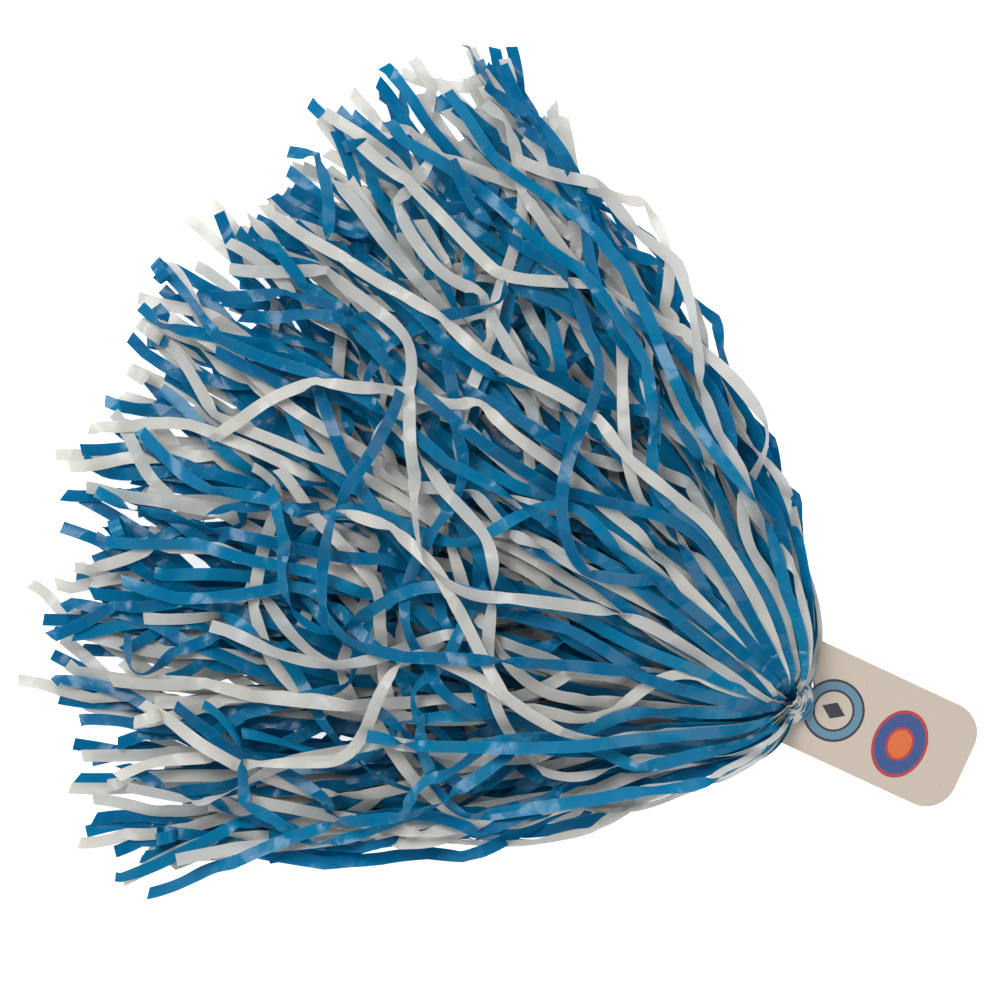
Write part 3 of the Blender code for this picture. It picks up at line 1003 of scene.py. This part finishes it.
def ink(name, place, outer, inner, material):
    """A thin band of ink on the handle between two outlines, or a filled one where there's no inner."""
    count = len(outer)
    inner = outer * PINHOLE if inner is None else inner
    vertices = []
    for lift in (PRINT_LIFT, -PRINT_LIFT):
        for ring in (outer, inner):
            for x, y in ring:
                where = HINGE.y + place[1] + y
                vertices.append((place[0] + x, where, paddle_top(where) + lift))
    faces = []
    for step in range(count):
        near = [ring * count + step for ring in range(4)]
        far = [ring * count + (step + 1) % count for ring in range(4)]
        faces.append((near[0], near[1], far[1], far[0]))
        faces.append((near[2], far[2], far[3], near[3]))
        faces.append((near[0], far[0], far[2], near[2]))
        faces.append((near[1], near[3], far[3], far[1]))
    piece = add_mesh(name, vertices, faces, material)
    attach(piece, "handle")


def make_print():
    """Two plain marks: a ring about a diamond, and a round badge nearer the grip's end."""
    inks = {name: ink_material(f"{name} ink", colour) for name, colour in INKS.items()}
    rings = [outline(4, size, size, 1.0) for size in RING_RADII]
    bands = ("outside", "charcoal"), ("band", "steel blue"), ("inside", "charcoal")
    for (name, colour), outer, inner in zip(bands, rings, rings[1:]):
        ink(f"print_ring_{name}", RING_AT, outer, inner, inks[colour])
    ink("print_diamond", RING_AT, outline(4, *DIAMOND, 0.0), None, inks["charcoal"])
    rings = [outline(6, BADGE[0] * size, BADGE[1] * size, 1.0) for size in BADGE_RINGS] + [None]
    bands = ("rim", "red"), ("field", "royal blue"), ("line", "red"), ("centre", "orange")
    for (name, colour), outer, inner in zip(bands, rings, rings[1:]):
        ink(f"print_badge_{name}", BADGE_AT, outer, inner, inks[colour])


# ---- materials


def feed(tree, node, inputs):
    """Feed a node's inputs with other nodes' outputs or plain values."""
    for name, value in inputs.items():
        if isinstance(value, bpy.types.NodeSocket):
            tree.links.new(value, node.inputs[name])
        else:
            node.inputs[name].default_value = value


def add_node(tree, kind, inputs, **settings):
    """Add a shader node, set its properties and feed its inputs."""
    node = tree.nodes.new(kind)
    for name, value in settings.items():
        setattr(node, name, value)
    feed(tree, node, inputs)
    return node


def attribute_value(tree, label):
    """One of the values that a streamer's mesh carries."""
    return add_node(tree, "ShaderNodeAttribute", {}, attribute_name=label).outputs["Fac"]


def maths(tree, operation, *values):
    """The result of a sum over outputs and plain numbers."""
    return add_node(tree, "ShaderNodeMath", dict(enumerate(values)), operation=operation).outputs[0]


def noise(tree, place, scale, detail):
    """Soft noise between 0 and 1."""
    inputs = {"Vector": place, "Scale": scale, "Detail": detail}
    return add_node(tree, "ShaderNodeTexNoise", inputs).outputs["Fac"]


def mapped(tree, value, low, high, start=0.0, stop=1.0):
    """The value, brought from the range start to stop to the range low to high."""
    inputs = {"Value": value, "From Min": start, "From Max": stop, "To Min": low, "To Max": high}
    return add_node(tree, "ShaderNodeMapRange", inputs).outputs[0]


def bumped(tree, height, strength, distance, **more):
    """A surface direction that follows a height."""
    inputs = {"Height": height, "Strength": strength, "Distance": distance, **more}
    return add_node(tree, "ShaderNodeBump", inputs).outputs[0]


def tinted(tree, factor, low, high):
    """A colour between two."""
    inputs = {"Factor": factor, "A": low, "B": high}
    return add_node(tree, "ShaderNodeMix", inputs, data_type="RGBA").outputs["Result"]


def colour_ramp(tree, value, *stops):
    """A colour that runs from stop to stop, each a place and a colour, as the value rises."""
    node = add_node(tree, "ShaderNodeValToRGB", {"Fac": value})
    elements = node.color_ramp.elements
    for number, (place, colour) in enumerate(stops):
        element = elements[number] if number < 2 else elements.new(place)
        element.position = place
        element.color = (*colour, 1)
    return node.outputs["Color"]


def new_material(name):
    """A new material, its node tree and its shader."""
    material = bpy.data.materials.new(name)
    material.use_nodes = True
    return material, material.node_tree, material.node_tree.nodes["Principled BSDF"]


def film_material(name, colour, deep, pale, glow, through):
    """Glossy, slightly milky film with fine creases and light showing through; painted highlights on its cut
    edges, pale creases that are partly whitening and partly painted glints, and painted shade and light by
    facet.
    """
    material, tree, shader = new_material(name)
    along, across, tone = (attribute_value(tree, label) for label in STRIP_VALUES)
    sideways = maths(tree, "MULTIPLY", across, STRIP_WIDTH / 2)
    place = add_node(tree, "ShaderNodeCombineXYZ", {"X": along, "Y": sideways, "Z": tone}).outputs[0]

    slant = maths(tree, "MULTIPLY", across, CREASE_SLANT)
    start = maths(tree, "MULTIPLY_ADD", tone, CREASE_START, slant)
    cells = {"Scale": CREASES_PER_METRE, "W": maths(tree, "ADD", along, start)}
    facets = add_node(tree, "ShaderNodeTexVoronoi", cells, voronoi_dimensions="1D")
    creases = add_node(
        tree, "ShaderNodeTexVoronoi", cells, voronoi_dimensions="1D", feature="DISTANCE_TO_EDGE"
    )

    cloudy = maths(tree, "MULTIPLY", noise(tree, place, *CLOUDS), SHADES.clouds)
    toned = maths(tree, "MULTIPLY_ADD", tone, SHADES.tone, cloudy)
    # Painted shade and light: each facet between creases is a little lighter or darker
    shade = maths(tree, "MULTIPLY_ADD", facets.outputs["Color"], SHADES.facets, toned)
    stops = (SHADES.deep_at, deep), (SHADES.pale_at, pale), (SHADES.colour_at, colour)
    body = colour_ramp(tree, shade, *stops)
    # Painted highlight: the cut edges are mixed towards the glow colour
    rim = mapped(tree, maths(tree, "ABSOLUTE", across), 0.0, CUT_EDGE.wear, start=CUT_EDGE.beyond)
    # Crease lines: partly whitened film, partly a painted glint
    line = mapped(tree, creases.outputs["Distance"], CREASE_LINE.wear, 0.0, stop=CREASE_LINE.half)
    painted_glints = maths(tree, "MAXIMUM", rim, line)
    folded = bumped(tree, facets.outputs["Distance"], 1.0, CREASE_DEPTH)
    feed(tree, shader, {
        "Base Color": tinted(tree, painted_glints, body, (*glow, 1)),
        "Roughness": mapped(tree, noise(tree, place, *SCUFFS), *FILM_ROUGHNESS),
        "Normal": bumped(tree, noise(tree, place, *WRINKLES), *WRINKLE_BUMP, Normal=folded),
        "IOR": FILM_IOR,
    })

    behind = add_node(tree, "ShaderNodeBsdfTranslucent", {"Color": (*glow, 1)})
    parts = {0: through, 1: shader.outputs[0], 2: behind.outputs[0]}
    mixed = add_node(tree, "ShaderNodeMixShader", parts)
    feed(tree, tree.nodes["Material Output"], {"Surface": mixed.outputs[0]})
    return material


def matte_material(name, low, high, look, specks=None):
    """Matte plastic or ink with fine grain, and a few tiny specks if given."""
    material, tree, shader = new_material(name)
    place = add_node(tree, "ShaderNodeTexCoord", {}).outputs["Object"]
    grains = noise(tree, place, *look.grain)
    tint = tinted(tree, grains, (*low, 1), (*high, 1))
    if specks:
        few = mapped(tree, noise(tree, place, *specks.noise), 0.0, specks.share, specks.start, specks.stop)
        tint = tinted(tree, few, tint, (*specks.colour, 1))
    feed(tree, shader, {
        "Base Color": tint,
        "Roughness": mapped(tree, grains, *MATTE_ROUGHNESS),
        "Normal": bumped(tree, grains, *look.bump),
    })
    return material


def ink_material(name, colour):
    """Printed ink, slightly uneven, matte on the plastic."""
    low, high = ([factor * part for part in colour] for factor in (INK.low, INK.high))
    return matte_material(name, low, high, INK)


# ---- stage


def make_camera():
    """A camera straight above, turned so that the handle points down and to the right."""
    data = bpy.data.cameras.new("camera")
    camera = add_object("camera", data)
    data.sensor_width = SENSOR
    data.lens = SENSOR * CAMERA_HEIGHT / VIEW_WIDTH
    data.clip_end = VIEW_FAR
    camera.location = MIDDLE + VIEW_CENTRE + Vector((0, 0, CAMERA_HEIGHT))
    camera.rotation_euler = (0, 0, VIEW_TURN)
    bpy.context.scene.camera = camera


def make_floor():
    """A plain white floor that glows, as on a light table."""
    corners = [(FLOOR_HALF * x, FLOOR_HALF * y, 0) for x, y in ((-1, -1), (1, -1), (1, 1), (-1, 1))]
    material, tree, shader = new_material("floor")
    feed(tree, shader, {
        "Base Color": (0.92, 0.92, 0.92, 1),
        "Roughness": 0.9,
        "Specular IOR Level": 0.0,
        "Emission Color": (1, 1, 1, 1),
        "Emission Strength": FLOOR_GLOW,
    })
    add_mesh("floor", corners, [(0, 1, 2, 3)], material)


def make_light(name, light, aim, up, right):
    """One soft square light that shines at the object."""
    data = bpy.data.lights.new(name, "AREA")
    data.shape = "SQUARE"
    data.size = light.size
    data.energy = light.power
    lamp = add_object(name, data)
    place = aim + up * light.up + right * light.right + Vector((0, 0, light.height))
    lamp.location = place
    lamp.rotation_euler = (aim - place).to_track_quat("-Z", "Y").to_euler()
    lamp.visible_camera = False


def make_lights():
    """A soft key from the view's upper left, a weaker fill and a surround darker above."""
    aim = MIDDLE + VIEW_CENTRE
    up = Vector((-math.sin(VIEW_TURN), math.cos(VIEW_TURN), 0))
    right = Vector((math.cos(VIEW_TURN), math.sin(VIEW_TURN), 0))
    make_light("key", KEY, aim, up, right)
    make_light("fill", FILL, aim, up, right)
    world = bpy.data.worlds.new("surround")
    world.use_nodes = True
    tree = world.node_tree
    direction = add_node(tree, "ShaderNodeTexCoord", {}).outputs["Generated"]
    parts = add_node(tree, "ShaderNodeSeparateXYZ", {0: direction})
    sky = colour_ramp(tree, parts.outputs["Z"], *SURROUND)
    feed(tree, tree.nodes["Background"], {"Color": sky, "Strength": SURROUND_STRENGTH})
    bpy.context.scene.world = world


def finish_handle():
    """Give the CAD's handle its matte plastic."""
    plastic = matte_material("handle plastic", PLASTIC.low, PLASTIC.high, PLASTIC, SPECKS)
    handle = frame["nodes"]["paddle_handle"].data
    handle.materials.clear()
    handle.materials.append(plastic)


make_camera()
make_floor()
make_lights()
bpy.context.scene.view_settings.view_transform = "Standard"
make_streamers({"blue": film_material("blue film", **BLUE), "white": film_material("white film", **WHITE)})
make_core(film_material("gathered film", **GATHERED))
make_print()
finish_handle()
